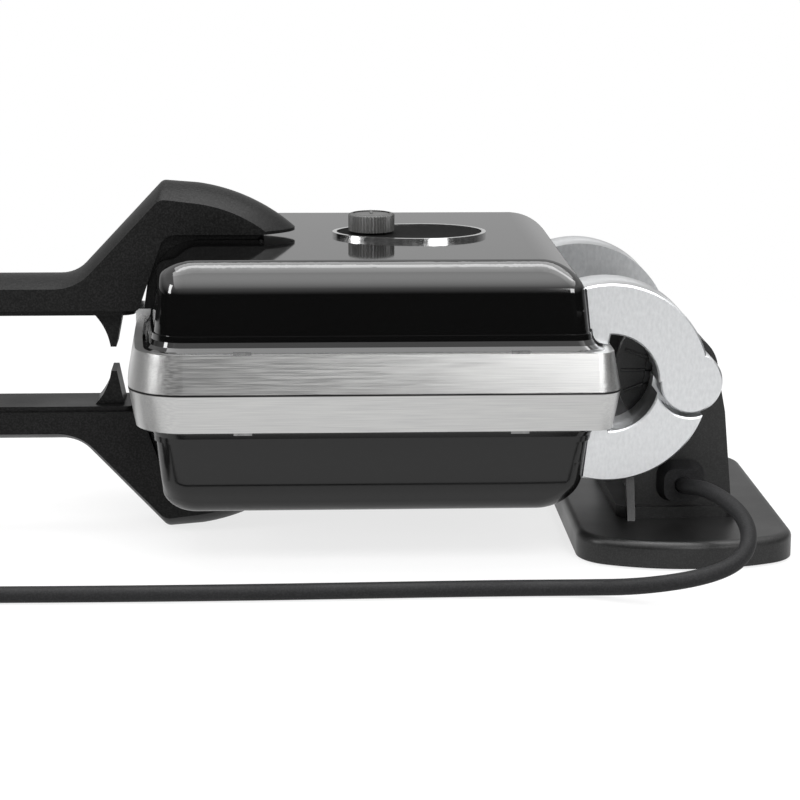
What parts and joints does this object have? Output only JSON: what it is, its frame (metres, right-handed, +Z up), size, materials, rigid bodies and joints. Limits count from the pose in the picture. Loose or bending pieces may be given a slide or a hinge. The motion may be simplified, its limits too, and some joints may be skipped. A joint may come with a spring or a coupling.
{
  "type": "waffle sandwich maker",
  "caption": "Countertop waffle sandwich maker: hinged cooking halves with studded plates, crowned handles and hooked arms on a pedestal; the closed cooker turns over.",
  "frame": {"origin": "middle of the foot on the worktop", "axes": "+Z up, +X to the rear, handles point to -X, lead leaves on the -Y side"},
  "size_m": [0.562, 0.2609, 0.1839],
  "materials": {
    "cast_frame": "satin cast and brushed",
    "gloss_shell": "gloss black",
    "cooking_plate": "non-stick coating",
    "heater": "dull steel tube",
    "reflector_sheet": "bright sheet",
    "hinge_arm": "brushed",
    "handle_plastic": "fine texture",
    "bracket_steel": "plated",
    "label_face": "dark",
    "bright_rim": "bright",
    "thermostat_body": "moulded",
    "knob_plastic": "dark grey",
    "stand_plastic": "satin texture",
    "pad_rubber": "matt",
    "relief_rubber": "matt",
    "washer_plastic": "natural",
    "lead_rubber": "matt dark grey"
  },
  "bodies": {
    "stand": {"hinge_pin": "bracket_steel", "foot_screws": "bracket_steel", "pedestal_screws": "bracket_steel", "plug_blades": "bracket_steel", "foot_plate": "stand_plastic", "pedestal": "stand_plastic", "foot_closing_plate": "bracket_steel", "foot_pads": "pad_rubber", "strain_relief": "relief_rubber", "hinge_washers": "washer_plastic", "cord": "lead_rubber", "cord_coil": "lead_rubber", "plug": "lead_rubber", "coil_tie": "lead_rubber"},
    "lower_half": {"lower_frame": "cast_frame", "lower_shell": "gloss_shell", "lower_waffle_plate": "cooking_plate", "lower_element": "heater", "lower_reflector": "reflector_sheet", "lower_arm_near": "hinge_arm", "lower_arm_far": "hinge_arm", "lower_handle": "handle_plastic", "lower_handle_cover": "handle_plastic", "lower_handle_bracket": "bracket_steel", "lower_handle_screws": "bracket_steel", "lower_flange_clips": "bracket_steel"},
    "lid": {"upper_frame": "cast_frame", "upper_shell": "gloss_shell", "upper_waffle_plate": "cooking_plate", "upper_element": "heater", "upper_reflector": "reflector_sheet", "upper_arm_near": "hinge_arm", "upper_arm_far": "hinge_arm", "upper_handle": "handle_plastic", "upper_handle_cover": "handle_plastic", "upper_handle_bracket": "bracket_steel", "upper_handle_screws": "bracket_steel", "upper_flange_clips": "bracket_steel", "label_plate": "label_face", "label_rim": "bright_rim", "thermostat": "thermostat_body"},
    "knob": {"knob": "knob_plastic", "knob_shaft": "bracket_steel"}
  },
  "joints": [
    {"name": "turn_over", "type": "hinge", "parent": "stand", "child": "lower_half", "pos_m": [0, 0, 0.092], "axis": [0, 1, 0], "range_deg": [0, 180]},
    {"name": "lid_open", "type": "hinge", "parent": "lower_half", "child": "lid", "pos_m": [0, 0, 0.092], "axis": [0, -1, 0], "range_deg": [-135, 0]},
    {"name": "knob_turn", "type": "hinge", "parent": "lid", "child": "knob", "pos_m": [-0.1567, 0, 0.16], "axis": [0, 0, 1], "range_deg": [-135, 135]}
  ]
}
